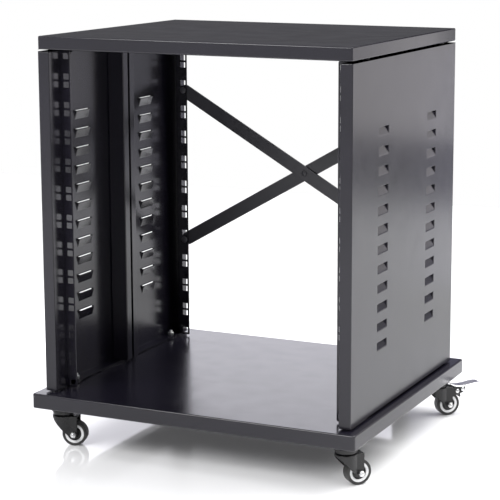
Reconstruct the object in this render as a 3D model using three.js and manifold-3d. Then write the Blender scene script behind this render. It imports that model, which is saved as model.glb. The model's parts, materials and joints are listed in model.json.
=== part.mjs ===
// Twelve-unit, 19-inch open equipment rack on casters.
// Millimetres, +Z up, +X to the right, +Y to the rear. The floor is Z = 0.
import * as THREE from 'three';
import { mergeVertices } from 'three/addons/utils/BufferGeometryUtils.js';
import Module from 'manifold-3d';

const wasm = await Module();
wasm.setup();

// ---- driving dimensions -------------------------------------------------------------------
const GAP = 0.3; // clearance kept between touching pieces

// 19-inch rack standard
const UNITS = 12;
const UNIT = 44.45;
const UNIT_HOLE_SPAN = 31.75; // upper hole to lower hole of one unit
const HOLE_HALF = 4.7; // square cage-nut hole, 9.4 mm across
const HOLE_X = 232.55; // hole columns, 465.1 mm apart

// base tray, a folded sheet open underneath
const BASE_HALF_X = 276;
const BASE_HALF_Y = 243;
const BASE_LOW = 67.5;
const BASE_TOP = 91.5;
const TRAY_SHEET = 1.5; // sheet of both trays

// side panels and what they carry
const SIDE_X = 261.75;
const SIDE_FRONT = -224;
const SIDE_REAR = 218;
const SIDE_LOW = 94;
const SIDE_TOP = 631.5;
const SIDE_SHEET = 1.2;
const FLANGE_X = 242.3; // inner edge of the front and rear flanges
const FOOT_FRONT = -158; // bottom and top flanges, between the rails
const FOOT_REAR = 190;
const FOOT_X = 242.4;

// top panel, a folded sheet open underneath
const TOP_HALF_X = 261;
const TOP_FRONT = -224.5;
const TOP_REAR = 219.5;
const TOP_LOW = 634.5;
const TOP_FACE = 655;
const RETURN_WIDTH = 20; // inward flange round the open side of both trays

// channels inside the base tray, over the casters
const BASE_BAR_HALF = 21;
const BASE_BAR_SHEET = 2;

// rack rails
const RAIL_SHEET = 2;
const RAIL_FRONT_Y = -190.5; // mounting face of the front rails
const RAIL_REAR_Y = 195.5; // mounting face of the rear rails
const RAIL_INNER_X = 225.2;
const RAIL_LEG = 21.5;
const TOP_HOLE_Z = 622.5; // upper hole of the highest unit

// louvres pressed into the side panels
const LOUVRE_ROWS = 12;
const LOUVRE_PITCH = 29.8;
const LOUVRE_TOP_Z = 529.5;
const LOUVRE_HEIGHT = 14;
const LOUVRE_WIDTH = 42;
const LOUVRE_DEPTH = 4.4;
const LOUVRE_COLUMNS_Y = [-101, 107];

// lipped channel that stiffens each side panel
const CHANNEL_FRONT = -17;
const CHANNEL_REAR = 19;
const CHANNEL_INNER_X = 231;
const CHANNEL_SLOT = 6;
const CHANNEL_SHEET = 1.5;

// crossed brace behind the rear rails
const BAR_HALF = 11.5;
const BAR_THICK = 3;
const BAR_END_INSET = 4; // centre of the rounded end, inboard of the bolt
const BAR_HIGH_UNIT = 2;
const BAR_LOW_UNIT = 8;
const BRACE_HEAD_RADIUS = 5.6;
const BRACE_HEAD = 2.6;
const RIVET_HEAD_RADIUS = 5.2;
const RIVET_HEAD = 1.8;

// bolts that hold the side panels to the trays
const PANEL_BOLT_X = 251;
const PANEL_BOLTS_Y = [-150, 172];
const M6_RADIUS = 3;
const M6_HOLE = 3.4;
const M6_FLATS = 10;
const M6_NUT = 5;
const M6_HEAD = 4;
const COLLAR_RADIUS = 6;
const THREAD_END = 4; // thread standing out past a nut

// casters: local +X is the trailing side, local origin on the swivel axis
const CASTER_X = 245;
const CASTER_Y = 200;
const WHEEL_RADIUS = 20;
const WHEEL_TRAIL = 18.5;
const TYRE_INNER = 15.7;
const TYRE_HALF = 8.5;
const RING_OUTER = 15.2; // light ring on each face of the hub
const RING_INNER = 11.4;
const RING_HALF = 7.8;
const AXLE_FLATS = 8.4;
const CUT_HALF = 30; // cutters across a caster run this far each way
const FORK_TOP = 50.5;
const FORK_SHEET = 1.9;
const FORK_HALF = 12.5;
const FORK_REAR = 24.5;
const BOSS_RADIUS = 7.5; // rounded lower end of the fork's cheeks, about the axle
const CROWN_RADIUS = 18;
const KINGPIN_RADIUS = 4;
const KINGPIN_HOLE = KINGPIN_RADIUS + 0.4;
const KINGPIN_HEAD = 7;
const PLATE_HALF = 27;
const PLATE_TOP = BASE_LOW - GAP;
const PLATE_SHEET = 2.7;
const CUP_RADIUS = 17.2;
const CUP_BORE = 11.5;
const RIM_RADIUS = 19.4;
const RIM_LOW = 57; // underside of the rim round the ball race
const RIM_HEIGHT = 2.4;
const RACE_FLOOR = FORK_TOP + 7; // floor of the cup, under the kingpin's upper head

// foot brake: points of the caster's side view, trail first and height second
const BRAKE_PIVOT = [32.3, 42.5];
const BRAKE_LINK = [43, 44.4];
const BRAKE_HALF = 10.2;
const BRAKE_SHEET = 1.5;
const BRAKE_RIVET_HOLE = 2.8;
const EAR_RADIUS = 5.5;
const LEVER_CREST = [[20.5, 56.8], [27, 52.8], [34, 50.8], [46, 50.8], [57, 52.4], [68, 54.2], [76, 53.4]];
const LEVER_PLAN = [[20, 8.5], [36, 10.2], [50, 12], [72, 12], [76, 8]]; // trail and half width
const CHEEK = [[28, 48.9], [28, 40], [32, 37.5], [40, 37.5], [44, 39], [48, 43], [48, 48.9]];
const BRIDGE_LOW = 47.4; // underside of the bracket's bridge
const TONGUE_X = 39.3; // face of the tongue that bears on the tyre
const TONGUE_LOW = 30;
const TONGUE_HALF = 7;

const CASTERS = [
  { name: 'front_left', x: -CASTER_X, y: -CASTER_Y, turn: 17.2, braked: false },
  { name: 'front_right', x: CASTER_X, y: -CASTER_Y, turn: 48, braked: false },
  { name: 'rear_left', x: -CASTER_X, y: CASTER_Y, turn: 136.5, braked: true },
  { name: 'rear_right', x: CASTER_X, y: CASTER_Y, turn: 43.5, braked: true },
];

// ---- materials ----------------------------------------------------------------------------
const surface = (color, roughness, metalness) => ({ color, roughness, metalness });
const POWDER_COAT = surface(0x1d1c20, 0.42, 0.1);
const CASTER_BLACK = surface(0x19191b, 0.45, 0.2);
const ZINC = surface(0xb9bcc0, 0.35, 0.9);
const CHROME = surface(0xd9dadc, 0.15, 1);
const HUB_SILVER = surface(0xdcdcdc, 0.3, 0.3);
const RUBBER = surface(0x151515, 0.6, 0);

// ---- helpers ------------------------------------------------------------------------------
// Turns a closed three.js geometry into a manifold-3d solid.
function solid(geometry) {
  const bare = geometry.clone();
  bare.deleteAttribute('normal');
  bare.deleteAttribute('uv');
  const merged = mergeVertices(bare, 1e-4);
  return new wasm.Manifold(new wasm.Mesh({
    numProp: 3,
    vertProperties: new Float32Array(merged.attributes.position.array),
    triVerts: new Uint32Array(merged.index.array),
  }));
}

function geometryOf(manifold) {
  const mesh = manifold.getMesh();
  const geometry = new THREE.BufferGeometry();
  geometry.setAttribute('position', new THREE.BufferAttribute(mesh.vertProperties, 3));
  geometry.setIndex(new THREE.BufferAttribute(mesh.triVerts, 1));
  geometry.computeVertexNormals();
  return geometry;
}

const joinAll = (solids) => solids.reduce((sum, piece) => sum.add(piece));
const cutAll = (body, cuts) => cuts.reduce((rest, cut) => rest.subtract(cut), body);

function box(x0, x1, y0, y1, z0, z1) {
  const geometry = new THREE.BoxGeometry(x1 - x0, y1 - y0, z1 - z0);
  return solid(geometry.translate((x0 + x1) / 2, (y0 + y1) / 2, (z0 + z1) / 2));
}

// Axes of the drawing plane of a prism, and the axis along which it is extruded.
const PLANES = {
  xy: [[1, 0, 0], [0, 1, 0], [0, 0, 1]],
  xz: [[1, 0, 0], [0, 0, 1], [0, -1, 0]],
  yz: [[0, 1, 0], [0, 0, 1], [1, 0, 0]],
};

// Extrudes a shape drawn in one of the planes between two heights on that plane's normal.
function prism(plane, shape, from, to, curveSegments = 6) {
  const axes = PLANES[plane].map((axis) => new THREE.Vector3(...axis));
  const options = { depth: to - from, bevelEnabled: false, curveSegments };
  const geometry = new THREE.ExtrudeGeometry(shape, options);
  geometry.translate(0, 0, plane === 'xz' ? -to : from);
  return solid(geometry.applyMatrix4(new THREE.Matrix4().makeBasis(...axes)));
}

const polygon = (points) => new THREE.Shape(points.map(([a, b]) => new THREE.Vector2(a, b)));

function roundedRectangle(x0, x1, y0, y1, radius) {
  const shape = new THREE.Shape();
  shape.absarc(x1 - radius, y0 + radius, radius, -Math.PI / 2, 0);
  shape.absarc(x1 - radius, y1 - radius, radius, 0, Math.PI / 2);
  shape.absarc(x0 + radius, y1 - radius, radius, Math.PI / 2, Math.PI);
  shape.absarc(x0 + radius, y0 + radius, radius, Math.PI, Math.PI * 1.5);
  return shape;
}

// A round bar along Z, Y or X through the point (a, b) of the plane across it.
function rod(plane, a, b, radius, from, to, segments = 14) {
  const shape = new THREE.Shape().absarc(a, b, radius, 0, Math.PI * 2);
  return prism(plane, shape, from, to, segments);
}

function hexagon(a, b, flats) {
  const corner = flats / Math.sqrt(3);
  const turns = [0, 1, 2, 3, 4, 5].map((step) => step * Math.PI / 3);
  return polygon(turns.map((turn) => [a + corner * Math.cos(turn), b + corner * Math.sin(turn)]));
}

// Revolves a closed profile of [radius, height] points about the Z axis.
function revolve(profile, segments) {
  const points = [...profile, profile[0]].map(([r, z]) => new THREE.Vector2(r, z));
  return new THREE.LatheGeometry(points, segments).rotateX(Math.PI / 2);
}

function meshOf(name, shape, finish) {
  const geometry = shape.isBufferGeometry ? shape : geometryOf(shape);
  const mesh = new THREE.Mesh(geometry, new THREE.MeshStandardMaterial(finish));
  mesh.name = name;
  return mesh;
}

// ---- trays --------------------------------------------------------------------------------
// A sheet folded down on four sides, with an inward flange round its open underside.
function tray({ x, front, rear, low, top, sheet, radius }) {
  const outer = prism('xy', roundedRectangle(-x, x, front, rear, radius), low, top, 3);
  const hollow = box(-x + sheet, x - sheet, front + sheet, rear - sheet, low + sheet, top - sheet);
  const reach = RETURN_WIDTH;
  const mouth = box(-x + reach, x - reach, front + reach, rear - reach, low - 1, low + 2 * sheet);
  return outer.subtract(hollow).subtract(mouth);
}

// Clearance holes at the four panel bolts, for a sheet between two heights.
const panelBoltHoles = (from, to) => [-PANEL_BOLT_X, PANEL_BOLT_X].flatMap(
  (x) => PANEL_BOLTS_Y.map((y) => rod('xy', x, y, M6_HOLE, from, to, 5)),
);

function topPanel() {
  const plan = { x: TOP_HALF_X, front: TOP_FRONT, rear: TOP_REAR, radius: 2.5 };
  const shell = tray({ ...plan, low: TOP_LOW, top: TOP_FACE, sheet: TRAY_SHEET });
  return cutAll(shell, panelBoltHoles(TOP_LOW - 1, TOP_LOW + TRAY_SHEET + 1));
}

function baseTray() {
  const plan = { x: BASE_HALF_X, front: -BASE_HALF_Y, rear: BASE_HALF_Y, radius: 4 };
  const shell = tray({ ...plan, low: BASE_LOW, top: BASE_TOP, sheet: TRAY_SHEET });
  return cutAll(shell, panelBoltHoles(BASE_TOP - TRAY_SHEET - 1, BASE_TOP + 1));
}

// Channel that lies inside the base tray over a pair of casters, open side up.
function baseBar(centreY) {
  const halfX = BASE_HALF_X - 2 * TRAY_SHEET - GAP;
  const halfY = BASE_BAR_HALF;
  const low = BASE_LOW + TRAY_SHEET + GAP;
  const high = BASE_TOP - TRAY_SHEET - GAP;
  const block = box(-halfX, halfX, centreY - halfY, centreY + halfY, low, high);
  const inside = halfY - BASE_BAR_SHEET;
  const floor = low + BASE_BAR_SHEET;
  return block.subtract(box(-halfX - 1, halfX + 1, centreY - inside, centreY + inside, floor, high + 1));
}

// ---- side panels --------------------------------------------------------------------------
// Plan outline of the left skin with its front and rear flanges and their returns.
function sideOutline() {
  const skin = -SIDE_X + SIDE_SHEET;
  const lip = -FLANGE_X - SIDE_SHEET;
  const frontLip = RAIL_FRONT_Y - GAP;
  const rearLip = RAIL_REAR_Y + GAP;
  return polygon([
    [-SIDE_X, SIDE_FRONT], [-FLANGE_X, SIDE_FRONT], [-FLANGE_X, frontLip], [lip, frontLip],
    [lip, SIDE_FRONT + SIDE_SHEET], [skin, SIDE_FRONT + SIDE_SHEET],
    [skin, SIDE_REAR - SIDE_SHEET], [lip, SIDE_REAR - SIDE_SHEET],
    [lip, rearLip], [-FLANGE_X, rearLip], [-FLANGE_X, SIDE_REAR], [-SIDE_X, SIDE_REAR],
  ]);
}

// One louvre of the left panel: a tongue hinged along its lower edge that leans into the rack,
// closed at both ends, with its open slot at the top.
function louvre(centreY, topZ) {
  const lowZ = topZ - LOUVRE_HEIGHT;
  const wall = -SIDE_X + SIDE_SHEET;
  const tip = wall + LOUVRE_DEPTH;
  const half = LOUVRE_WIDTH / 2;
  const root = wall - SIDE_SHEET / 2;
  const bulge = polygon([[root, lowZ], [wall, lowZ], [tip, topZ], [root, topZ]]);
  const scoop = polygon([
    [-SIDE_X - 1, lowZ + SIDE_SHEET], [wall - SIDE_SHEET, lowZ + SIDE_SHEET],
    [tip - SIDE_SHEET, topZ], [-SIDE_X - 1, topZ],
  ]);
  return {
    bulge: prism('xz', bulge, centreY - half, centreY + half),
    scoop: prism('xz', scoop, centreY - half + SIDE_SHEET, centreY + half - SIDE_SHEET),
  };
}

function leftSidePanel() {
  const skin = prism('xy', sideOutline(), SIDE_LOW, SIDE_TOP);
  const rows = Array.from({ length: LOUVRE_ROWS }, (_, row) => LOUVRE_TOP_Z - row * LOUVRE_PITCH);
  const louvres = LOUVRE_COLUMNS_Y.flatMap((y) => rows.map((z) => louvre(y, z)));
  const root = -SIDE_X + SIDE_SHEET / 2;
  const flange = (z0, z1) => box(root, -FOOT_X, FOOT_FRONT, FOOT_REAR, z0, z1);
  const foot = flange(SIDE_LOW, SIDE_LOW + SIDE_SHEET);
  const head = flange(SIDE_TOP - SIDE_SHEET, SIDE_TOP);
  const shell = joinAll([skin, foot, head, ...louvres.map((item) => item.bulge)]);
  const open = cutAll(shell, louvres.map((item) => item.scoop));
  return cutAll(open, panelBoltHoles(SIDE_LOW - 1, SIDE_TOP + 1));
}

// Lipped channel on the inner wall of the left panel.
function leftStiffener() {
  const back = -SIDE_X + SIDE_SHEET + GAP;
  const inner = -CHANNEL_INNER_X;
  const t = CHANNEL_SHEET;
  const middle = (CHANNEL_FRONT + CHANNEL_REAR) / 2;
  const slotFront = middle - CHANNEL_SLOT / 2;
  const slotRear = middle + CHANNEL_SLOT / 2;
  const outline = polygon([
    [back, CHANNEL_FRONT], [inner, CHANNEL_FRONT], [inner, slotFront], [inner - t, slotFront],
    [inner - t, CHANNEL_FRONT + t], [back + t, CHANNEL_FRONT + t], [back + t, CHANNEL_REAR - t],
    [inner - t, CHANNEL_REAR - t], [inner - t, slotRear], [inner, slotRear],
    [inner, CHANNEL_REAR], [back, CHANNEL_REAR],
  ]);
  const inset = SIDE_SHEET + GAP;
  return prism('xy', outline, SIDE_LOW + inset, SIDE_TOP - inset);
}

// ---- rack rails ---------------------------------------------------------------------------
// Heights of the square holes: the upper and lower hole of every unit.
function railHoleHeights() {
  const units = Array.from({ length: UNITS }, (_, unit) => TOP_HOLE_Z - unit * UNIT);
  return units.flatMap((z) => [z, z - UNIT_HOLE_SPAN]);
}

function squareHole(x, z) {
  const h = HOLE_HALF;
  const corners = [[x - h, z - h], [x - h, z + h], [x + h, z + h], [x + h, z - h]];
  return new THREE.Path(corners.map(([a, b]) => new THREE.Vector2(a, b)));
}

// Angle-section rail of the left side; facing is -1 for a front rail and +1 for a rear rail.
function leftRail(faceY, facing) {
  const legX = -FLANGE_X - SIDE_SHEET - GAP;
  const inside = faceY - facing * RAIL_SHEET;
  const [low, high] = [SIDE_LOW, SIDE_TOP];
  const root = legX - RAIL_SHEET / 2;
  const face = polygon([[root, low], [-RAIL_INNER_X, low], [-RAIL_INNER_X, high], [root, high]]);
  face.holes = railHoleHeights().map((z) => squareHole(-HOLE_X, z));
  const plate = prism('xz', face, Math.min(faceY, inside), Math.max(faceY, inside));
  const legEnd = inside + facing * RAIL_LEG;
  const leg = box(legX - RAIL_SHEET, legX, Math.min(inside, legEnd), Math.max(inside, legEnd), low, high);
  return plate.add(leg);
}

const mirrored = (shape) => shape.mirror([1, 0, 0]);

// ---- rear brace ---------------------------------------------------------------------------
const braceZ = (unit) => TOP_HOLE_Z - unit * UNIT;
const BRACE_HIGH = braceZ(BAR_HIGH_UNIT);
const BRACE_LOW = braceZ(BAR_LOW_UNIT);
const BRACE_MIDDLE = (BRACE_HIGH + BRACE_LOW) / 2;
const FIRST_BAR_Y = RAIL_REAR_Y + GAP;
const SECOND_BAR_Y = FIRST_BAR_Y + BAR_THICK + GAP;

// Flat bar with rounded ends; slope is -1 when it falls towards the right.
function braceBar(frontY, slope) {
  const rise = BRACE_HIGH - BRACE_LOW;
  const length = Math.hypot(2 * HOLE_X, rise);
  const turn = slope * Math.atan2(rise, 2 * HOLE_X);
  const reach = length / 2 - BAR_END_INSET;
  const shape = new THREE.Shape();
  shape.absarc(reach, 0, BAR_HALF, -Math.PI / 2, Math.PI / 2);
  shape.absarc(-reach, 0, BAR_HALF, Math.PI / 2, Math.PI * 1.5);
  const holes = [-length / 2, 0, length / 2];
  shape.holes = holes.map((x) => new THREE.Path().absarc(x, 0, M6_HOLE, 0, Math.PI * 2, true));
  const options = { depth: BAR_THICK, bevelEnabled: false, curveSegments: 8 };
  const geometry = new THREE.ExtrudeGeometry(shape, options);
  geometry.rotateZ(turn).rotateX(Math.PI / 2);
  return geometry.translate(0, frontY + BAR_THICK, BRACE_MIDDLE);
}

// Screw through a rail hole and a bar, with a nut behind. The second bar stands on a collar.
function braceBolt(x, z, barY) {
  const headBack = RAIL_REAR_Y - RAIL_SHEET - GAP;
  const nutFront = barY + BAR_THICK + GAP;
  const tip = nutFront + M6_NUT + 1.5;
  const pieces = [
    rod('xz', x, z, BRACE_HEAD_RADIUS, headBack - BRACE_HEAD, headBack, 8),
    rod('xz', x, z, M6_RADIUS, headBack - 0.5, tip, 6),
    prism('xz', hexagon(x, z, M6_FLATS), nutFront, nutFront + M6_NUT),
  ];
  if (barY > FIRST_BAR_Y) {
    pieces.push(rod('xz', x, z, BRACE_HEAD_RADIUS, FIRST_BAR_Y, barY - GAP, 8));
  }
  return joinAll(pieces);
}

// Rivet through the crossing of the two bars, with a flat head on each side.
function braceRivet() {
  const front = FIRST_BAR_Y - GAP;
  const back = SECOND_BAR_Y + BAR_THICK + GAP;
  const head = (from) => rod('xz', 0, BRACE_MIDDLE, RIVET_HEAD_RADIUS, from, from + RIVET_HEAD, 8);
  const shank = rod('xz', 0, BRACE_MIDDLE, M6_RADIUS, front - 0.5, back + 0.5, 6);
  return joinAll([head(front - RIVET_HEAD), shank, head(back)]);
}

// ---- panel bolts --------------------------------------------------------------------------
// Bolt between a tray sheet and a panel flange: head, spacer collar and nut on one shank.
function panelBolt(x, y, headZ, collar, nutZ) {
  const up = Math.sign(nutZ - headZ);
  const headFar = headZ - up * M6_HEAD;
  const nutFar = nutZ + up * M6_NUT;
  const tip = nutFar + up * THREAD_END;
  const sorted = (a, b) => [Math.min(a, b), Math.max(a, b)];
  return joinAll([
    prism('xy', hexagon(x, y, M6_FLATS), ...sorted(headZ, headFar)),
    rod('xy', x, y, M6_RADIUS, ...sorted(headFar, tip), 6),
    rod('xy', x, y, COLLAR_RADIUS, ...collar, 7),
    prism('xy', hexagon(x, y, M6_FLATS), ...sorted(nutZ, nutFar)),
  ]);
}

function basePanelBolt(x, y) {
  const headZ = BASE_TOP - TRAY_SHEET - GAP;
  return panelBolt(x, y, headZ, [BASE_TOP + GAP, SIDE_LOW - GAP], SIDE_LOW + SIDE_SHEET + GAP);
}

function topPanelBolt(x, y) {
  const headZ = TOP_LOW + TRAY_SHEET + GAP;
  return panelBolt(x, y, headZ, [SIDE_TOP + GAP, TOP_LOW - GAP], SIDE_TOP - SIDE_SHEET - GAP);
}

// ---- casters ------------------------------------------------------------------------------
// Cutter or rivet shank across the caster, through a point of its side view.
const across = (x, z, radius, half, segments) => rod('xz', x, z, radius, -half, half, segments);

// Square mounting plate with the pressed cup that holds the ball race.
function casterPlate() {
  const square = roundedRectangle(-PLATE_HALF, PLATE_HALF, -PLATE_HALF, PLATE_HALF, 5);
  const plate = prism('xy', square, PLATE_TOP - PLATE_SHEET, PLATE_TOP, 3);
  const low = FORK_TOP + 2 * GAP;
  const neck = CUP_RADIUS - 1.2;
  const cup = solid(revolve([
    [0, low], [CUP_RADIUS - 1.7, low], [CUP_RADIUS, low + 1.7], [CUP_RADIUS, RIM_LOW],
    [RIM_RADIUS, RIM_LOW], [RIM_RADIUS, RIM_LOW + RIM_HEIGHT], [neck, RIM_LOW + RIM_HEIGHT + 1.6],
    [neck, PLATE_TOP - 1], [0, PLATE_TOP - 1],
  ], 20));
  const inside = rod('xy', 0, 0, CUP_BORE, RACE_FLOOR, PLATE_TOP + 1, 8);
  const bore = rod('xy', 0, 0, KINGPIN_HOLE, low - 1, PLATE_TOP + 1, 6);
  return cutAll(plate.add(cup), [inside, bore]);
}

// Headed pin through the crown of the fork, riveted over inside the cup.
function kingpin() {
  const head = KINGPIN_HEAD;
  const headTop = FORK_TOP - FORK_SHEET - GAP;
  const rivetLow = RACE_FLOOR + GAP;
  return revolve([
    [0, headTop - 3], [head - 1.5, headTop - 3], [head, headTop - 1.5], [head, headTop],
    [KINGPIN_RADIUS, headTop], [KINGPIN_RADIUS, rivetLow], [head, rivetLow],
    [head - 1.5, rivetLow + 2.5], [0, rivetLow + 2.5],
  ], 14);
}

// Plan outline of the pressed fork: round over the swivel, with two flat cheeks behind it.
// The inset outline is the hollow inside the sheet, which runs out through the open rear.
function forkPlan(inset) {
  const half = FORK_HALF - inset;
  const rear = FORK_REAR + (inset > 0 ? 1 : 0);
  const shoulder = WHEEL_TRAIL - 6;
  const shape = new THREE.Shape();
  shape.moveTo(rear, -half);
  shape.lineTo(rear, half);
  shape.lineTo(shoulder, half);
  shape.absarc(0, 0, CROWN_RADIUS - inset, Math.PI * 0.42, Math.PI * 1.58);
  shape.lineTo(shoulder, -half);
  return shape;
}

// Side view of the fork: the hood's sloping lower edge runs down to the round axle boss.
function forkProfile() {
  const front = -CROWN_RADIUS - 1;
  const shape = new THREE.Shape();
  shape.moveTo(FORK_REAR + 0.5, FORK_TOP + 1);
  shape.lineTo(front, FORK_TOP + 1);
  shape.lineTo(front, FORK_TOP - FORK_SHEET);
  shape.lineTo(WHEEL_TRAIL - BOSS_RADIUS * 0.8, WHEEL_RADIUS - BOSS_RADIUS * 0.6);
  shape.absarc(WHEEL_TRAIL, WHEEL_RADIUS, BOSS_RADIUS, Math.PI * 1.2, Math.PI * 2);
  return shape;
}

// Two ears on the rear edge of the fork that carry the brake's pivot.
function brakeEars() {
  const [x, z] = BRAKE_PIVOT;
  const r = EAR_RADIUS;
  const root = FORK_REAR - 2;
  const low = z - r - 4;
  const ear = polygon([
    [root, low], [FORK_REAR + 1.5, low], [x + 0.7 * r, z - 0.7 * r], [x + r, z],
    [x + 0.7 * r, z + 0.7 * r], [x, z + r], [root, z + r],
  ]);
  const inner = FORK_HALF - FORK_SHEET;
  return prism('xz', ear, -FORK_HALF, FORK_HALF)
    .subtract(box(root - 3, x + 2 * r, -inner, inner, 0, FORK_TOP + 5));
}

function fork(braked) {
  const shell = prism('xy', forkPlan(0), 5, FORK_TOP, 8);
  const hollow = prism('xy', forkPlan(FORK_SHEET), 4, FORK_TOP - FORK_SHEET, 8);
  const silhouette = prism('xz', forkProfile(), -CUT_HALF, CUT_HALF, 5);
  const hood = shell.subtract(hollow).intersect(silhouette);
  const whole = braked ? hood.add(brakeEars()) : hood;
  const holes = [
    rod('xy', 0, 0, KINGPIN_HOLE, FORK_TOP - 5, FORK_TOP + 1, 6),
    across(WHEEL_TRAIL, WHEEL_RADIUS, M6_HOLE, CUT_HALF, 6),
    across(...BRAKE_PIVOT, BRAKE_RIVET_HOLE, CUT_HALF, 5),
  ];
  return cutAll(whole, holes);
}

// Axle bolt across the fork: nut and rounded thread end on one side, head on the other.
function axleBolt() {
  const [x, z, side] = [WHEEL_TRAIL, WHEEL_RADIUS, FORK_HALF + GAP];
  return joinAll([
    prism('xz', hexagon(x, z, AXLE_FLATS), -side - M6_NUT, -side),
    rod('xz', x, z, M6_RADIUS, -side - M6_NUT - 2, side + 1, 7),
    prism('xz', hexagon(x, z, AXLE_FLATS), side, side + M6_HEAD),
  ]);
}

// A wheel piece is revolved about Z, then laid over on the axle.
function onAxle(geometry) {
  return geometry.rotateX(Math.PI / 2).translate(WHEEL_TRAIL, 0, WHEEL_RADIUS);
}

// Profile of a wheel piece, given from its inner radius outwards along one face.
function bothFaces(face) {
  const far = face.map(([r, h]) => [r, -h]);
  return [...far, ...[...face].reverse()];
}

// Moulded hub: a bearing boss, a thin web and the light ring under the tyre.
function hub() {
  const face = [
    [3.6, 10.2], [5.8, 10.2], [6.5, 4], [RING_INNER - 1, 3], [RING_INNER, RING_HALF],
    [RING_OUTER, RING_HALF],
  ];
  return onAxle(revolve(bothFaces(face), 20));
}

function tyre() {
  const r = WHEEL_RADIUS;
  const face = [[TYRE_INNER, TYRE_HALF - 0.5], [r - 1.4, TYRE_HALF], [r, TYRE_HALF - 2]];
  return onAxle(revolve(bothFaces(face), 28));
}

// Chromed foot lever: a thin plate that dips over the pivot and flares towards its tip.
function brakeLever() {
  const underside = LEVER_CREST.map(([x, z]) => [x, z - BRAKE_SHEET]).reverse();
  const width = LEVER_PLAN.map(([, half]) => half).reduce((a, b) => Math.max(a, b));
  const plate = prism('xz', polygon([...LEVER_CREST, ...underside]), -width - 1, width + 1);
  const nearSide = LEVER_PLAN.map(([x, half]) => [x, -half]);
  const outline = polygon([...nearSide, ...[...LEVER_PLAN].reverse()]);
  return plate.intersect(prism('xy', outline, BRAKE_LINK[1], PLATE_TOP));
}

// Black bracket under the lever: two cheeks, a bridge and the tongue that bears on the tyre.
function brakeBracket() {
  const inner = BRAKE_HALF - BRAKE_SHEET;
  const cheeks = prism('xz', polygon(CHEEK), -BRAKE_HALF, BRAKE_HALF);
  const room = box(20, 60, -inner, inner, TONGUE_LOW, BRIDGE_LOW);
  const tongue = box(
    TONGUE_X, TONGUE_X + BRAKE_SHEET, -TONGUE_HALF, TONGUE_HALF, TONGUE_LOW, BRIDGE_LOW + 0.6,
  );
  const holes = [BRAKE_PIVOT, BRAKE_LINK].map(
    (spot) => across(...spot, BRAKE_RIVET_HOLE, CUT_HALF, 5),
  );
  return cutAll(cheeks.subtract(room).add(tongue), holes);
}

// Round-headed rivet across the caster at a point of its side view.
function crossRivet([x, z], half) {
  const head = (from, to) => rod('xz', x, z, 3.5, from, to, 7);
  return joinAll([across(x, z, 2.4, half + 1, 5), head(-half - 1.8, -half), head(half, half + 1.8)]);
}

function caster({ name, x, y, turn, braked }) {
  const group = new THREE.Group();
  const swivel = new THREE.Group();
  const place = (parent, part, shape, finish) => parent.add(meshOf(`${part}_${name}`, shape, finish));
  place(group, 'caster_plate', casterPlate(), CASTER_BLACK);
  place(swivel, 'kingpin', kingpin(), ZINC);
  place(swivel, 'fork', fork(braked), CASTER_BLACK);
  place(swivel, 'axle_bolt', axleBolt(), ZINC);
  place(swivel, 'hub', hub(), HUB_SILVER);
  place(swivel, 'tyre', tyre(), RUBBER);
  if (braked) {
    place(swivel, 'brake_lever', brakeLever(), CHROME);
    place(swivel, 'brake_bracket', brakeBracket(), CASTER_BLACK);
    place(swivel, 'brake_pivot', crossRivet(BRAKE_PIVOT, FORK_HALF + GAP), ZINC);
    place(swivel, 'brake_rivet', crossRivet(BRAKE_LINK, BRAKE_HALF + GAP), ZINC);
  }
  group.add(swivel);
  group.position.set(x, y, 0);
  swivel.rotation.z = THREE.MathUtils.degToRad(turn);
  return group;
}

// ---- assembly -----------------------------------------------------------------------------
function cabinet() {
  const group = new THREE.Group();
  const add = (name, shape, finish = POWDER_COAT) => group.add(meshOf(name, shape, finish));
  add('top_panel', topPanel());
  add('base_tray', baseTray());
  add('base_bar_front', baseBar(-CASTER_Y));
  add('base_bar_rear', baseBar(CASTER_Y));
  const pairs = {
    side_panel: leftSidePanel(),
    side_stiffener: leftStiffener(),
    rack_rail_front: leftRail(RAIL_FRONT_Y, -1),
    rack_rail_rear: leftRail(RAIL_REAR_Y, 1),
  };
  for (const [name, shape] of Object.entries(pairs)) {
    add(`${name}_left`, shape);
    add(`${name}_right`, mirrored(shape));
  }
  return group;
}

function brace() {
  const group = new THREE.Group();
  group.add(meshOf('brace_bar_falling', braceBar(FIRST_BAR_Y, -1), POWDER_COAT));
  group.add(meshOf('brace_bar_rising', braceBar(SECOND_BAR_Y, 1), POWDER_COAT));
  group.add(meshOf('brace_rivet', braceRivet(), POWDER_COAT));
  const bolts = {
    upper_left: braceBolt(-HOLE_X, BRACE_HIGH, FIRST_BAR_Y),
    lower_right: braceBolt(HOLE_X, BRACE_LOW, FIRST_BAR_Y),
    upper_right: braceBolt(HOLE_X, BRACE_HIGH, SECOND_BAR_Y),
    lower_left: braceBolt(-HOLE_X, BRACE_LOW, SECOND_BAR_Y),
  };
  for (const [place, shape] of Object.entries(bolts)) {
    group.add(meshOf(`brace_bolt_${place}`, shape, POWDER_COAT));
  }
  return group;
}

function panelBolts() {
  const group = new THREE.Group();
  for (const [side, x] of [['left', -PANEL_BOLT_X], ['right', PANEL_BOLT_X]]) {
    for (const [end, y] of [['front', PANEL_BOLTS_Y[0]], ['rear', PANEL_BOLTS_Y[1]]]) {
      group.add(meshOf(`base_bolt_${end}_${side}`, basePanelBolt(x, y), ZINC));
      group.add(meshOf(`top_bolt_${end}_${side}`, topPanelBolt(x, y), POWDER_COAT));
    }
  }
  return group;
}

const rack = new THREE.Group();
rack.add(cabinet(), brace(), panelBolts(), ...CASTERS.map(caster));

// The origin is on the floor under the middle of the whole object, brake levers included.
rack.updateMatrixWorld(true);
const middle = new THREE.Box3().setFromObject(rack, true).getCenter(new THREE.Vector3());
rack.position.set(-middle.x, -middle.y, 0);

export default rack;
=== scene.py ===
"""Looks of the open equipment rack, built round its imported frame."""
import json
import math

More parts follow.
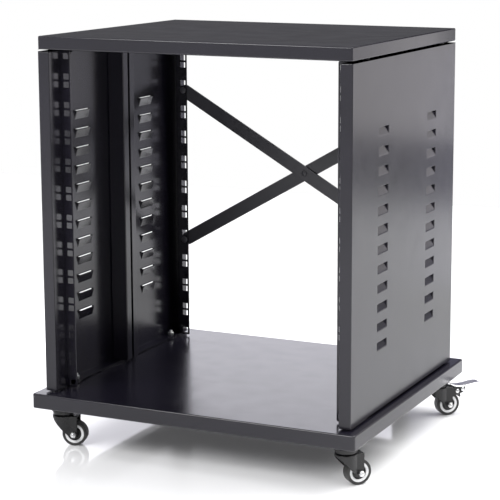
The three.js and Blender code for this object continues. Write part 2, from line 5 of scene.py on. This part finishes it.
import bmesh
import bpy
from mathutils import Matrix, Vector


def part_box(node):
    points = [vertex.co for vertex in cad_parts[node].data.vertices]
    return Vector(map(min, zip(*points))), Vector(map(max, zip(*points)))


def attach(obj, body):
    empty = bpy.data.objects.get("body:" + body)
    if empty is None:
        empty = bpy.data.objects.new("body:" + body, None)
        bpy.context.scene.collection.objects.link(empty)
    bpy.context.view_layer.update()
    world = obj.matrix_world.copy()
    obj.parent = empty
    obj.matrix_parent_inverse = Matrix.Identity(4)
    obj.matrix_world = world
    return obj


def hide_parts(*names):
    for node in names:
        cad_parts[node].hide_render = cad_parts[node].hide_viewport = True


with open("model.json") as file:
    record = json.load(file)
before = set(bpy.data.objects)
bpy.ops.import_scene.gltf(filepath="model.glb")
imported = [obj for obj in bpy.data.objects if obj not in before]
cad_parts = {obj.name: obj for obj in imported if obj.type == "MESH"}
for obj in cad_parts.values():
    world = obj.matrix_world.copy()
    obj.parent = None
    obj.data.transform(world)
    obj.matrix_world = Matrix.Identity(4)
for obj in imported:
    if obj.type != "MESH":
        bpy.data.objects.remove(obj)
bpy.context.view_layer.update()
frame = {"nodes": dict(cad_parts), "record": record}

MM = 0.001
SMOOTH_ANGLE = math.radians(25)  # flatter edges are shaded smooth, steeper ones are rounded
CUT_FACE = 3.2 * MM  # a narrower face is taken as the cut edge of a sheet
ROUNDED_SHARE = 0.3  # most of a face's width that a rounding may take
INNER_FOLD = 0.4  # rounding inside a fold, as a share of that outside it
WELD = 0.01 * MM
FLAT_ANGLE = math.radians(0.6)  # faces that meet at less are one flat face
BOLT_RADIUS = 3.0  # mm, as are the fastener sizes below
NUT_HEIGHT = 5
NUT_CHAMFER = 0.55
THREAD_DEPTH = 0.45
AXLE_FLATS = 8.4  # mm across the axle nut
FORK_FACE = 12.8  # mm from the wheel's middle to the outside of the fork
BRACKET_FACE = 10.5  # the same for the brake bracket
BRAKE_PIVOT = (32.3, 42.5)  # mm behind the swivel's axis and above the floor
BRAKE_LINK = (43, 44.4)
BODY_OF = {
    node: body
    for body, nodes in frame["record"]["behaviour"]["bodies"].items()
    for node in nodes
}
SLOT_OF = {row["node"]: row["material_slot"] for row in frame["record"]["subparts"]}
JOINT = {joint["name"]: joint for joint in frame["record"]["behaviour"]["joints"]}


# ---- materials ----------------------------------------------------------------------------
def map_range(nodes, links, factor, start, end, low, high):
    """A number running from low to high as factor goes from start to end."""
    node = nodes.new("ShaderNodeMapRange")
    for name, value in zip(("From Min", "From Max", "To Min", "To Max"), (start, end, low, high)):
        node.inputs[name].default_value = value
    links.new(factor, node.inputs["Value"])
    return node.outputs["Result"]


class Finish:
    """A node material round one Principled shader."""

    def __init__(self, name):
        self.material = bpy.data.materials.new(name)
        self.material.use_nodes = True
        self.nodes = self.material.node_tree.nodes
        self.links = self.material.node_tree.links
        self.shader = self.nodes["Principled BSDF"]
        self.place = self.nodes.new("ShaderNodeTexCoord").outputs["Object"]

    def set(self, **values):
        for name, value in values.items():
            socket = name.replace("_", " ").title().replace("Ior", "IOR")
            self.shader.inputs[socket].default_value = value

    def noise(self, scale, detail=3.0, roughness=0.5, stretch=(1, 1, 1)):
        """Noise of about 1/scale metres, stretched along the object's axes."""
        mapping = self.nodes.new("ShaderNodeMapping")
        mapping.inputs["Scale"].default_value = stretch
        self.links.new(self.place, mapping.inputs["Vector"])
        texture = self.nodes.new("ShaderNodeTexNoise")
        texture.inputs["Scale"].default_value = scale
        texture.inputs["Detail"].default_value = detail
        texture.inputs["Roughness"].default_value = roughness
        self.links.new(mapping.outputs["Vector"], texture.inputs["Vector"])
        return texture.outputs["Fac"]

    def ramp(self, factor, low, high, start=0.3, end=0.7):
        """Colours running from low to high as factor goes from start to end."""
        ramp = self.nodes.new("ShaderNodeValToRGB")
        for element, spot, colour in zip(ramp.color_ramp.elements, (start, end), (low, high)):
            element.position = spot
            element.color = (*colour, 1)
        self.links.new(factor, ramp.inputs["Fac"])
        return ramp.outputs["Color"]

    def span(self, factor, low, high, start=0.3, end=0.7):
        return map_range(self.nodes, self.links, factor, start, end, low, high)

    def feed(self, socket, source):
        self.links.new(source, self.shader.inputs[socket])

    def bump(self, height, depth, strength=1.0):
        """Raises the surface by height times depth, in metres, over any bump it already has."""
        node = self.nodes.new("ShaderNodeBump")
        node.inputs["Distance"].default_value = depth
        node.inputs["Strength"].default_value = strength
        self.links.new(height, node.inputs["Height"])
        for link in list(self.shader.inputs["Normal"].links):
            self.links.new(link.from_socket, node.inputs["Normal"])
        self.links.new(node.outputs["Normal"], self.shader.inputs["Normal"])


def powder_coat(name, dark, light, smooth, rough, grain):
    """Baked paint: a fine orange peel, faint cloudiness and a slightly uneven gloss."""
    finish = Finish(name)
    finish.set(ior=1.5)
    clouds = finish.noise(7, detail=5)
    finish.feed("Base Color", finish.ramp(clouds, dark, light))
    finish.feed("Roughness", finish.span(finish.noise(23, detail=6, roughness=0.6), smooth, rough))
    finish.bump(finish.noise(750, detail=2), grain)
    finish.bump(finish.noise(2600, detail=2), grain * 0.25)
    return finish.material


def plated_metal(name, dark, light, smooth, rough):
    """Plated steel with faint stains and fine scratches in the plating."""
    finish = Finish(name)
    finish.set(metallic=1.0)
    finish.feed("Base Color", finish.ramp(finish.noise(160, detail=5), dark, light))
    scratches = finish.noise(420, detail=4, stretch=(1, 1, 6))
    finish.feed("Roughness", finish.span(scratches, smooth, rough))
    finish.bump(scratches, 0.00002)
    return finish.material


def tyre_rubber():
    """Matt black rubber with a faint grain."""
    finish = Finish("tyre_rubber_look")
    finish.set(ior=1.5, sheen_weight=0.05)
    clouds = finish.noise(90, detail=6)
    finish.feed("Base Color", finish.ramp(clouds, (0.012, 0.012, 0.012), (0.03, 0.029, 0.028)))
    finish.feed("Roughness", finish.span(finish.noise(260, detail=5), 0.36, 0.58))
    finish.bump(finish.noise(1500, detail=3), 0.00005)
    return finish.material


def hub_plastic():
    """Pale silver plastic of the hub's rings."""
    finish = Finish("hub_silver_look")
    finish.set(ior=1.5)
    clouds = finish.noise(140, detail=4)
    finish.feed("Base Color", finish.ramp(clouds, (0.78, 0.78, 0.79), (0.9, 0.9, 0.9)))
    finish.feed("Roughness", finish.span(finish.noise(500, detail=4), 0.22, 0.4))
    finish.bump(finish.noise(1800, detail=2), 0.00002)
    return finish.material


LOOKS = {
    "powder_coat": powder_coat(
        "powder_coat_look", (0.0062, 0.0055, 0.0098), (0.0084, 0.0075, 0.0132), 0.18, 0.24, 0.000012
    ),
    "brace_coat": powder_coat(
        "brace_coat_look", (0.045, 0.044, 0.052), (0.06, 0.059, 0.068), 0.32, 0.45, 0.00003
    ),
    "caster_black": powder_coat(
        "caster_black_look", (0.004, 0.0038, 0.0045), (0.007, 0.0068, 0.0075), 0.22, 0.34, 0.00002
    ),
    "zinc": plated_metal("zinc_look", (0.55, 0.56, 0.58), (0.8, 0.8, 0.79), 0.2, 0.38),
    "chrome": plated_metal("chrome_look", (0.66, 0.66, 0.67), (0.8, 0.8, 0.8), 0.2, 0.32),
    "hub_silver": hub_plastic(),
    "tyre_rubber": tyre_rubber(),
}


# ---- mesh helpers -------------------------------------------------------------------------
def reach_across(face, edge):
    """How far a face extends away from one of its edges."""
    start = edge.verts[0].co
    along = (edge.verts[1].co - start).normalized()
    offsets = (vert.co - start for vert in face.verts)
    return max((offset - along * offset.dot(along)).length for offset in offsets)


def weigh_edges(bm, bend, cut, smooth_angle):
    """Marks sharp edges for rounding: bend is for folds of the sheet, cut for its thin edges."""
    weight = bm.edges.layers.float.new("bevel_weight_edge")
    for edge in bm.edges:
        if len(edge.link_faces) != 2:
            continue
        angle = edge.calc_face_angle(0.0)
        edge.smooth = angle < smooth_angle
        if edge.smooth:
            continue
        reach = min(reach_across(face, edge) for face in edge.link_faces)
        if reach < CUT_FACE:
            width = cut
        elif edge.is_convex:
            width = bend
        else:
            width = bend * INNER_FOLD
        edge[weight] = min(width, ROUNDED_SHARE * reach) / bend


def smooth_object(name, bm):
    """Turns bm into an object of the scene with every face shaded smooth."""
    for face in bm.faces:
        face.smooth = True
    mesh = bpy.data.meshes.new(name)
    bm.to_mesh(mesh)
    bm.free()
    piece = bpy.data.objects.new(name, mesh)
    bpy.context.scene.collection.objects.link(piece)
    return piece


def make_piece(name, bm, nodes, bend, cut, segments=3, smooth_angle=SMOOTH_ANGLE):
    """Turns bm into a shown piece with rounded edges that stands for CAD nodes."""
    weigh_edges(bm, bend, cut, smooth_angle)
    piece = smooth_object(name, bm)
    bevel = piece.modifiers.new("rounding", "BEVEL")
    bevel.limit_method = "WEIGHT"
    bevel.width = bend
    bevel.segments = segments
    bevel.use_clamp_overlap = False
    bevel.harden_normals = True
    slot = SLOT_OF[nodes[0]]
    piece.data.materials.append(LOOKS[slot])
    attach(piece, BODY_OF[nodes[0]])
    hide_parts(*nodes)
    return piece


def node_mesh(node):
    """The CAD node's shape with its flat faces whole again."""
    bm = bmesh.new()
    bm.from_mesh(frame["nodes"][node].data)
    bmesh.ops.remove_doubles(bm, verts=bm.verts, dist=WELD)
    bmesh.ops.dissolve_limit(
        bm, angle_limit=FLAT_ANGLE, verts=bm.verts, edges=bm.edges, use_dissolve_boundaries=False
    )
    return bm


def rounded(node, bend, cut, segments=3, smooth_angle=SMOOTH_ANGLE):
    """The CAD node itself, with folds rounded by bend and cut edges by cut, in mm."""
    bm = node_mesh(node)
    return make_piece(node + "_look", bm, [node], bend * MM, cut * MM, segments, smooth_angle)


def ring_radius(radius, flats, angle):
    """Radius of a ring at an angle: round, or a hexagon whose corners the radius trims."""
    if not flats:
        return radius
    sixth = math.pi / 3
    return min(radius, flats / 2 / math.cos(angle % sixth - sixth / 2))


def turned(bm, rings, place, steps=48, closed=False):
    """Lofts rings of (radius, height) or (radius, height, flats), in mm, about the place's Z axis."""
    loops = []
    for ring in rings:
        radius, height, flats = (*ring, 0)[:3]
        loop = []
        for step in range(steps):
            angle = 2 * math.pi * step / steps
            r = ring_radius(radius, flats, angle)
            spot = Vector((r * math.cos(angle), r * math.sin(angle), height)) * MM
            loop.append(bm.verts.new(place @ spot))
        loops.append(loop)
    if closed:
        loops.append(loops[0])
    for low, high in zip(loops, loops[1:]):
        for step in range(steps):
            after = (step + 1) % steps
            bm.faces.new((low[step], low[after], high[after], high[step]))
    if not closed:
        bm.faces.new(reversed(loops[0]))
        bm.faces.new(loops[-1])
    return bm


def arc_rings(radius, height, size, start, end, steps=5):
    """Rings of a quarter-round or dome: centre radius and height, arc size, angles in degrees."""
    rings = []
    for step in range(steps + 1):
        angle = math.radians(start + (end - start) * step / steps)
        rings.append((radius + size * math.cos(angle), height + size * math.sin(angle)))
    return rings


def turned_piece(name, nodes, stacks, steps=48, closed=False, bend=0.3):
    """One piece from stacks of (rings, place), each turned about its own axis."""
    bm = bmesh.new()
    for rings, place in stacks:
        turned(bm, rings, place, steps, closed)
    bmesh.ops.recalc_face_normals(bm, faces=bm.faces)
    return make_piece(name, bm, nodes, bend * MM, bend * MM, 2)


def nut_rings(low, high, flats=10.0):
    """A hexagon nut with both faces chamfered."""
    corner = flats / math.sqrt(3)
    face = flats / 2 * 0.96
    return [
        (face, low),
        (corner, low + NUT_CHAMFER, flats),
        (corner, high - NUT_CHAMFER, flats),
        (face, high),
    ]


def thread_rings(radius, low, high, pitch=1.0):
    """A threaded end with a rounded tip."""
    rings = []
    root = radius - THREAD_DEPTH
    height = low
    while height + pitch < high - 0.8:
        rings += [(radius, height + 0.1 * pitch), (radius, height + 0.25 * pitch)]
        rings += [(root, height + 0.55 * pitch), (root, height + 0.7 * pitch)]
        height += pitch
    rings += [(radius, height + 0.1 * pitch), (radius, high - 0.8)]
    rings += [(radius - 0.35, high - 0.3), (radius * 0.55, high), (0.3, high + 0.02)]
    return rings


def nut_and_thread(low, tip):
    """A nut at a height, with the bolt's threaded end coming out of it up to the tip."""
    high = low + NUT_HEIGHT
    return nut_rings(low, high) + thread_rings(BOLT_RADIUS, high, tip)


def collar_rings(low, high, radius):
    """A round collar on a bolt's shank."""
    return [(BOLT_RADIUS, low), (radius, low), (radius, high), (BOLT_RADIUS, high)]


def centre_of(node):
    low, high = (Vector(corner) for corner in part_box(node))
    return (low + high) / 2


def upright(spot, height=0.0):
    """A place whose Z axis goes up through a spot of the plan."""
    return Matrix.Translation((spot[0], spot[1], height))


def lengthwise(spot):
    """A place whose Z axis runs towards the rear through a spot of the elevation."""
    return Matrix.Translation((spot[0], 0, spot[2])) @ Matrix.Rotation(-math.pi / 2, 4, "X")


# ---- cabinet ------------------------------------------------------------------------------
def cabinet():
    rounded("top_panel", 2.0, 0.4, 4)
    rounded("base_tray", 2.2, 0.4, 4)
    for side in ("left", "right"):
        rounded(f"side_panel_{side}", 1.6, 0.35, smooth_angle=math.radians(10))
        rounded(f"side_stiffener_{side}", 1.6, 0.4)
        for end in ("front", "rear"):
            rounded(f"rack_rail_{end}_{side}", 2.0, 0.35)
    for end in ("front", "rear"):
        rounded(f"base_bar_{end}", 2.4, 0.4)
    for slope in ("falling", "rising"):
        rounded(f"brace_bar_{slope}", 0.7, 0.4)


def ends_of(node):
    """Low and high corners of a CAD node's box, in mm."""
    return (Vector(corner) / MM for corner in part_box(node))


def brace_rivet():
    low, high = ends_of("brace_rivet")
    dome = [(0.4, 0), (3.0, 0.3), (4.7, 1.0), (5.2, 1.8), (3.0, 1.8)]
    rings = [(radius, low.y + depth) for radius, depth in dome]
    rings += [(radius, high.y - depth) for radius, depth in reversed(dome)]
    turned_piece("brace_rivet_look", ["brace_rivet"], [(rings, lengthwise(centre_of("brace_rivet")))])


def brace_bolt(node):
    """A round-headed bolt with a nut; a long one has a collar between the rail and the bar."""
    low, high = ends_of(node)
    head_back = low.y + 2.6
    nut_low = high.y - 6.5
    dome = [(1.2, 0), (3.6, 0.35), (5.0, 1.1), (5.6, 2.1)]
    rings = [(radius, low.y + depth) for radius, depth in dome]
    rings += [(5.6, head_back), (BOLT_RADIUS, head_back)]
    if high.y - low.y > 16.0:
        collar_low = head_back + 0.6 + 2.0  # the gaps and the rail's sheet
        rings += collar_rings(collar_low, collar_low + 3.0, 5.5)
    rings += [(BOLT_RADIUS, nut_low)] + nut_and_thread(nut_low, high.y)
    turned_piece(node + "_look", [node], [(rings, lengthwise(centre_of(node)))])


def panel_bolt(node, collar_depth, turn):
    """A bolt through a tray and a panel's flange, with a collar between the two."""
    low, high = ends_of(node)
    length = high.z - low.z
    head_high = 4
    collar_low = head_high + 2.1  # the tray's sheet and the gaps
    nut_low = length - 9
    rings = nut_rings(0, head_high) + [(BOLT_RADIUS, head_high)]
    rings += collar_rings(collar_low, collar_low + collar_depth, 6.0)
    rings += [(BOLT_RADIUS, nut_low)] + nut_and_thread(nut_low, length)
    head_end = high.z if turn else low.z
    place = upright(centre_of(node), head_end * MM) @ Matrix.Rotation(turn, 4, "X")
    turned_piece(node + "_look", [node], [(rings, place)])


def cabinet_fasteners():
    brace_rivet()
    for level in ("upper", "lower"):
        for side in ("left", "right"):
            brace_bolt(f"brace_bolt_{level}_{side}")
    for tray, collar_depth, turn in (("base", 1.9, 0), ("top", 2.4, math.pi)):
        for end in ("front", "rear"):
            for side in ("left", "right"):
                panel_bolt(f"{tray}_bolt_{end}_{side}", collar_depth, turn)


# ---- casters ------------------------------------------------------------------------------
def tyre_piece(name, wheel):
    side = [(15.7, 8.0), (16.4, 8.45)] + arc_rings(18.2, 6.6, 1.8, 75, 0, 6)
    rings = side + [(20.0, 0.5), (20.0, -0.5)] + [(r, -h) for r, h in reversed(side)]
    turned_piece(f"tyre_{name}_look", [f"tyre_{name}"], [(rings, wheel)], steps=96, closed=True)


def hub_piece(name, wheel):
    """Core in the black caster paint, partly the hub's own dark colour and partly painted shade in the
    recess inside the ring, with a light ring let into each face.
    """
    side = [
        (3.6, 10.1), (5.4, 10.1), (5.8, 9.6), (6.6, 4.6), (7.4, 4.0), (10.0, 4.0), (10.7, 4.6),
        (11.0, 6.8), (15.0, 6.8), (15.2, 5.0),
    ]
    rings = side + [(r, -h) for r, h in reversed(side)]
    core = turned_piece(f"hub_{name}_look", [f"hub_{name}"], [(rings, wheel)], steps=96, closed=True)
    # painted shade: the core, silver in the frame, takes the black caster paint, which darkens the recess
    # inside the light ring
    core.data.materials[0] = LOOKS["caster_black"]
    ring = [(10.9, 5.6), (11.2, 6.9), (12.0, 7.6), (14.9, 8.0), (15.45, 7.6), (15.45, 6.6)]
    faces = [(ring, wheel), (ring, wheel @ Matrix.Rotation(math.pi, 4, "X"))]
    turned_piece(f"hub_ring_{name}_look", [f"hub_{name}"], faces, steps=96, closed=True, bend=0.15)


def axle_piece(name, wheel):
    rings = [(0.3, -19.8), (1.8, -19.7), (2.6, -19.3), (3.0, -18.6), (3.0, -17.8)]
    rings += nut_rings(-17.8, -FORK_FACE, AXLE_FLATS)
    rings += [(BOLT_RADIUS, -FORK_FACE), (BOLT_RADIUS, FORK_FACE)]
    rings += nut_rings(FORK_FACE, 16.8, AXLE_FLATS)
    turned_piece(f"axle_bolt_{name}_look", [f"axle_bolt_{name}"], [(rings, wheel)])


def kingpin_piece(name, post):
    rings = [(0.4, 45.3), (4.8, 45.4), (6.2, 46.0), (7.0, 47.0), (7.0, 48.2), (4.0, 48.2), (4.0, 57.8)]
    rings += [(6.8, 57.8), (6.6, 58.8), (5.4, 59.9), (3.0, 60.3), (0.4, 60.3)]
    turned_piece(f"kingpin_{name}_look", [f"kingpin_{name}"], [(rings, post)])


def rivet_piece(node, caster, spot, half):
    """A round-headed rivet across the caster."""
    head = [(2.4, 0), (3.5, 0), (3.5, 0.7), (3.1, 1.25), (2.0, 1.65), (0.3, 1.8)]
    side = [(r, half + h) for r, h in head]
    rings = [(r, -h) for r, h in reversed(side)] + side
    centre = Matrix.Translation((spot[0] * MM, 0, spot[1] * MM))
    place = caster @ centre @ Matrix.Rotation(math.pi / 2, 4, "X")
    turned_piece(node + "_look", [node], [(rings, place)], steps=32, bend=0.15)


def lever_sheet(caster):
    """The middle of the foot lever's sheet: a strip with rolled edges that dips over its pivot."""
    stations = [
        (20.7, 56.0, 8.0), (23.5, 54.0, 8.9), (27.5, 51.9, 9.6), (32, 50.6, 10.0), (38, 50.1, 10.3),
        (44, 50.1, 10.8), (50, 50.7, 11.4), (57, 51.8, 11.7), (64, 53.0, 11.8), (70, 53.5, 11.5),
        (74, 53.3, 10.2), (75.8, 52.9, 8.4),
    ]
    across = 12
    roll_start, roll_share = 0.72, 0.28  # of the half width, from the middle out
    bm = bmesh.new()
    rows = []
    for x, z, half in stations:
        row = []
        for step in range(across + 1):
            t = 2 * step / across - 1
            roll = 1.3 * max(0.0, abs(t) - roll_start) / roll_share
            spot = Vector((x, half * t, z - roll * roll * 0.8)) * MM
            row.append(bm.verts.new(caster @ spot))
        rows.append(row)
    for low, high in zip(rows, rows[1:]):
        for step in range(across):
            bm.faces.new((low[step], high[step], high[step + 1], low[step + 1]))
    bmesh.ops.recalc_face_normals(bm, faces=bm.faces)
    if sum((face.normal for face in bm.faces), Vector()).z < 0:
        bmesh.ops.reverse_faces(bm, faces=bm.faces)
    return bm


def lever_piece(name, caster):
    """The chromed foot lever."""
    node = f"brake_lever_{name}"
    piece = smooth_object(node + "_look", lever_sheet(caster))
    plate = piece.modifiers.new("sheet", "SOLIDIFY")
    plate.thickness = 1.3 * MM
    plate.offset = 0
    soft = piece.modifiers.new("soft", "SUBSURF")
    soft.levels = soft.render_levels = 2
    piece.data.materials.append(LOOKS["chrome"])
    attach(piece, BODY_OF[node])
    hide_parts(node)


def casters():
    for joint_name, spin in JOINT.items():
        if not joint_name.startswith("wheel_spin_"):
            continue
        name = joint_name.removeprefix("wheel_spin_")
        swivel = Vector(JOINT[f"swivel_turn_{name}"]["pos_m"])
        axis = Vector(spin["axis"])
        turn = math.atan2(-axis.x, axis.y)
        caster = Matrix.Translation((swivel.x, swivel.y, 0)) @ Matrix.Rotation(turn, 4, "Z")
        axle = caster.inverted() @ Vector(spin["pos_m"])
        wheel = caster @ Matrix.Translation(axle) @ Matrix.Rotation(math.pi / 2, 4, "X")
        rounded(f"caster_plate_{name}", 0.6, 0.4)
        rounded(f"fork_{name}", 1.6, 0.4, 4)
        tyre_piece(name, wheel)
        hub_piece(name, wheel)
        axle_piece(name, wheel @ Matrix.Rotation(math.pi, 4, "X"))
        kingpin_piece(name, caster)
        if f"brake_press_{name}" in JOINT:
            rounded(f"brake_bracket_{name}", 0.8, 0.3)
            lever_piece(name, caster)
            rivet_piece(f"brake_pivot_{name}", caster, BRAKE_PIVOT, FORK_FACE)
            rivet_piece(f"brake_rivet_{name}", caster, BRAKE_LINK, BRACKET_FACE)


# ---- studio -------------------------------------------------------------------------------
def studio_floor():
    """A glossy white floor that glows more beyond a metre, so that it has no horizon."""
    finish = Finish("floor_look")
    finish.set(ior=1.8, emission_color=(1, 1, 1, 1))
    clouds = finish.noise(3, detail=2)
    finish.feed("Base Color", finish.ramp(clouds, (0.9, 0.9, 0.905), (0.93, 0.93, 0.93)))
    finish.feed("Roughness", finish.span(finish.noise(5, detail=3), 0.05, 0.09))
    distance = finish.nodes.new("ShaderNodeVectorMath")
    distance.operation = "LENGTH"
    finish.links.new(finish.place, distance.inputs[0])
    finish.feed("Emission Strength", finish.span(distance.outputs["Value"], 0.05, 0.35, 1.0, 2.0))
    bm = bmesh.new()
    bmesh.ops.create_grid(bm, x_segments=2, y_segments=2, size=2.2)
    mesh = bpy.data.meshes.new("studio_floor")
    bm.to_mesh(mesh)
    bm.free()
    mesh.materials.append(finish.material)
    floor = bpy.data.objects.new("studio_floor", mesh)
    bpy.context.scene.collection.objects.link(floor)


def softbox(name, spot, target, width, height, power, colour):
    """A rectangular lamp at a spot, aimed at a target and itself unseen."""
    light = bpy.data.lights.new(name, "AREA")
    light.shape = "RECTANGLE"
    light.size = width
    light.size_y = height
    light.energy = power
    light.color = colour
    lamp = bpy.data.objects.new(name, light)
    lamp.location = spot
    lamp.rotation_euler = (Vector(target) - Vector(spot)).to_track_quat("-Z", "Y").to_euler()
    lamp.visible_camera = False
    bpy.context.scene.collection.objects.link(lamp)


SOFTBOXES = (
    ("back_key", (1.4, 1.3, 3.2), (0.2, 0, 0), 2.6, 2.6, 190, (1, 1, 1)),
    ("front_fill", (-1.2, -2.8, 2.6), (0, -0.4, 0.2), 2.0, 1.6, 110, (1, 1, 1)),
    ("side_fill", (3.0, -0.2, 2.6), (0.4, -0.2, 0), 1.5, 1.5, 40, (1, 1, 1)),
    ("low_backdrop", (-0.86, 0.75, 0.32), (-0.86, 0, 0.32), 1.62, 0.5, 5.2, (0.93, 0.92, 1.0)),
    ("low_backdrop_middle", (0.25, 0.85, 0.32), (0.25, 0, 0.32), 0.6, 0.5, 0.22, (0.7, 0.68, 1.0)),
    ("low_backdrop_right", (1.3, 1.05, 0.6), (1.3, 0, 0.6), 1.6, 0.5, 2.4, (1.0, 0.96, 0.97)),
)
GREY_BY_HEIGHT = (
    (0.0, 0.4), (0.02, 0.15), (0.15, 0.15), (0.2, 0.05),
    (0.38, 0.05), (0.5, 0.4), (0.65, 0.4), (1.0, 0.35),
)


def room_grey(nodes, links, height):
    """Grey levels of the room, with a dark band a little above the horizon."""
    ramp = nodes.new("ShaderNodeValToRGB")
    while len(ramp.color_ramp.elements) < len(GREY_BY_HEIGHT):
        ramp.color_ramp.elements.new(0.5)
    for element, (spot, level) in zip(ramp.color_ramp.elements, GREY_BY_HEIGHT):
        element.position = spot
        element.color = (level, level, level * 1.03, 1)
    links.new(height, ramp.inputs["Fac"])
    return ramp.outputs["Color"]


def studio_world():
    """Plain white to the camera; to everything else a grey room, brighter in front than behind."""
    world = bpy.data.worlds.new("studio")
    world.use_nodes = True
    nodes, links = world.node_tree.nodes, world.node_tree.links
    split = nodes.new("ShaderNodeSeparateXYZ")
    links.new(nodes.new("ShaderNodeTexCoord").outputs["Generated"], split.inputs[0])
    grey = room_grey(nodes, links, split.outputs["Z"])
    brightness = map_range(nodes, links, split.outputs["Y"], -0.5, 0.5, 2.6, 1.0)
    camera_ray = nodes.new("ShaderNodeLightPath").outputs["Is Camera Ray"]
    room = ((grey, "RGBA", "Color", (1, 1, 1, 1)), (brightness, "FLOAT", "Strength", 1.0))
    for source, data_type, socket, to_camera in room:
        choice = nodes.new("ShaderNodeMix")
        choice.data_type = data_type
        choice.inputs["B"].default_value = to_camera
        links.new(camera_ray, choice.inputs["Factor"])
        links.new(source, choice.inputs["A"])
        links.new(choice.outputs["Result"], nodes["Background"].inputs[socket])
    bpy.context.scene.world = world


def photo_camera():
    """The view from in front, from the right and above."""
    yaw, pitch, roll = (math.radians(angle) for angle in (24.154, 10.363, 0.08))
    forward = Vector((-math.sin(yaw) * math.cos(pitch), math.cos(yaw) * math.cos(pitch), -math.sin(pitch)))
    level = Vector((math.cos(yaw), math.sin(yaw), 0))
    above = level.cross(forward)
    right = math.cos(roll) * level + math.sin(roll) * above
    up = math.cos(roll) * above - math.sin(roll) * level
    turn = Matrix((right, up, -forward)).transposed().to_4x4()
    data = bpy.data.cameras.new("camera")
    data.sensor_width = 36
    data.lens = 124.5
    data.shift_x = -0.1
    data.shift_y = -0.05
    camera = bpy.data.objects.new("camera", data)
    camera.matrix_world = Matrix.Translation((1.19355, -2.49149, 0.84704)) @ turn
    bpy.context.scene.collection.objects.link(camera)
    bpy.context.scene.camera = camera


cabinet()
cabinet_fasteners()
casters()
studio_floor()
studio_world()
for box in SOFTBOXES:
    softbox(*box)
photo_camera()
bpy.context.scene.view_settings.view_transform = "Standard"
